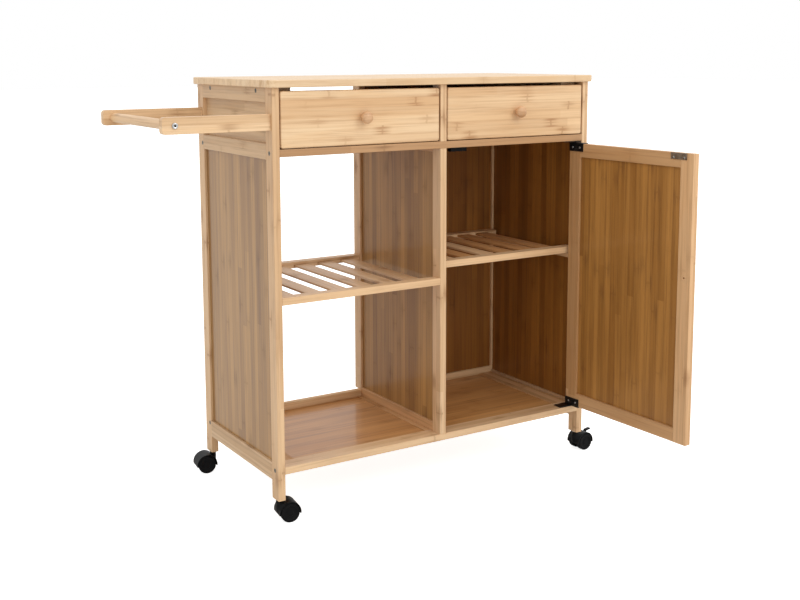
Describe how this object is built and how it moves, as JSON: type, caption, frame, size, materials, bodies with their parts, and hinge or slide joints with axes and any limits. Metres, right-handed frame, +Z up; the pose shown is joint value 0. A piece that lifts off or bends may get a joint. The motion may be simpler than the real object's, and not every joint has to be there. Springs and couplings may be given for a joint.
{
  "type": "kitchen cart",
  "caption": "Bamboo kitchen cart on swivel casters with a worktop, drawers, a hinged cupboard door, slatted shelves and a towel handle at one end.",
  "frame": {"origin": "on the floor, under the middle of the box round the cart with its door open as it stands", "axes": "+X to the right along the cart's length, away from the towel handle; +Y from the front with the drawers to the back; +Z up"},
  "size_m": [1.0688, 0.7476, 0.9],
  "materials": {
    "worktop": "satin lacquer",
    "bamboo_frame": "satin lacquer",
    "drawer_front": "satin lacquer",
    "bamboo_panel": "satin lacquer",
    "knob": "satin lacquer",
    "steel": "plated",
    "black_metal": "satin",
    "black_plastic": "matte"
  },
  "bodies": {
    "carcass": {"worktop": "worktop", "top_battens": "bamboo_frame", "front_left_leg": "bamboo_frame", "back_left_leg": "bamboo_frame", "front_right_leg": "bamboo_frame", "back_right_leg": "bamboo_frame", "left_side_rails": "bamboo_frame", "right_side_rails": "bamboo_frame", "left_upper_panel": "bamboo_frame", "left_lower_panel": "bamboo_panel", "right_upper_panel": "bamboo_frame", "right_lower_panel": "bamboo_panel", "divider_posts": "bamboo_frame", "divider_rails": "bamboo_frame", "divider_panel": "bamboo_panel", "right_back_panels": "bamboo_panel", "drawer_front_rail": "bamboo_frame", "drawer_back_rail": "bamboo_frame", "drawer_uprights": "bamboo_frame", "drawer_runners": "bamboo_frame", "bottom_front_rail": "bamboo_frame", "bottom_back_rail": "bamboo_frame", "floor_strips": "bamboo_frame", "floor_panels": "bamboo_panel", "left_shelf_rails": "bamboo_frame", "left_shelf_slats": "bamboo_frame", "right_shelf_rails": "bamboo_frame", "right_shelf_slats": "bamboo_frame", "shelf_cleats": "bamboo_frame", "handle_arms": "bamboo_frame", "towel_rod": "bamboo_frame", "handle_bolts": "steel", "hinge_brackets": "black_metal", "magnetic_catch": "black_plastic", "frame_bolts": "steel", "caster_stems": "steel"},
    "door": {"door_stiles": "bamboo_frame", "door_rails": "bamboo_frame", "door_panel": "bamboo_panel", "door_hinge_leaves": "black_metal", "strike_plate": "steel", "door_screws": "steel"},
    "left_drawer": {"left_drawer_front": "drawer_front", "left_drawer_walls": "bamboo_frame", "left_drawer_bottom": "bamboo_panel", "left_drawer_knob": "knob"},
    "right_drawer": {"right_drawer_front": "drawer_front", "right_drawer_walls": "bamboo_frame", "right_drawer_bottom": "bamboo_panel", "right_drawer_knob": "knob"},
    "front_left_caster": {"front_left_caster_housing": "black_plastic"},
    "front_left_wheels": {"front_left_caster_wheels": "black_plastic"},
    "front_right_caster": {"front_right_caster_housing": "black_plastic"},
    "front_right_wheels": {"front_right_caster_wheels": "black_plastic"},
    "front_right_brake": {"front_right_brake_lever": "black_plastic"},
    "back_left_caster": {"back_left_caster_housing": "black_plastic"},
    "back_left_wheels": {"back_left_caster_wheels": "black_plastic"},
    "back_right_caster": {"back_right_caster_housing": "black_plastic"},
    "back_right_wheels": {"back_right_caster_wheels": "black_plastic"},
    "back_right_brake": {"back_right_brake_lever": "black_plastic"}
  },
  "joints": [
    {"name": "door_hinge", "type": "hinge", "parent": "carcass", "child": "door", "pos_m": [0.46555, -0.01073, 0.4325], "axis": [0, 0, 1], "range_deg": [-92, 18]},
    {"name": "left_drawer_slide", "type": "slide", "parent": "carcass", "child": "left_drawer", "axis": [0, -1, 0], "range_m": [0, 0.25]},
    {"name": "right_drawer_slide", "type": "slide", "parent": "carcass", "child": "right_drawer", "axis": [0, -1, 0], "range_m": [0, 0.25]},
    {"name": "front_left_swivel", "type": "hinge", "parent": "carcass", "child": "front_left_caster", "pos_m": [-0.30545, -0.00273, 0.0435], "axis": [0, 0, 1], "continuous": true},
    {"name": "front_left_roll", "type": "hinge", "parent": "front_left_caster", "child": "front_left_wheels", "pos_m": [-0.28763, -0.00524, 0.02], "axis": [0.1392, 0.9903, 0], "continuous": true},
    {"name": "front_right_swivel", "type": "hinge", "parent": "carcass", "child": "front_right_caster", "pos_m": [0.48655, -0.00273, 0.0435], "axis": [0, 0, 1], "continuous": true},
    {"name": "front_right_roll", "type": "hinge", "parent": "front_right_caster", "child": "front_right_wheels", "pos_m": [0.50454, -0.0021, 0.02], "axis": [-0.0349, 0.9994, 0], "continuous": true},
    {"name": "front_right_brake_pedal", "type": "hinge", "parent": "front_right_caster", "child": "front_right_brake", "pos_m": [0.51653, -0.00168, 0.033], "axis": [-0.0349, 0.9994, 0], "range_deg": [0, 25]},
    {"name": "back_left_swivel", "type": "hinge", "parent": "carcass", "child": "back_left_caster", "pos_m": [-0.30545, 0.34127, 0.0435], "axis": [0, 0, 1], "continuous": true},
    {"name": "back_left_roll", "type": "hinge", "parent": "back_left_caster", "child": "back_left_wheels", "pos_m": [-0.32327, 0.34378, 0.02], "axis": [-0.1392, -0.9903, 0], "continuous": true},
    {"name": "back_right_swivel", "type": "hinge", "parent": "carcass", "child": "back_right_caster", "pos_m": [0.48655, 0.34127, 0.0435], "axis": [0, 0, 1], "continuous": true},
    {"name": "back_right_roll", "type": "hinge", "parent": "back_right_caster", "child": "back_right_wheels", "pos_m": [0.50346, 0.34743, 0.02], "axis": [-0.342, 0.9397, 0], "continuous": true},
    {"name": "back_right_brake_pedal", "type": "hinge", "parent": "back_right_caster", "child": "back_right_brake", "pos_m": [0.51474, 0.35153, 0.033], "axis": [-0.342, 0.9397, 0], "range_deg": [0, 25]}
  ]
}
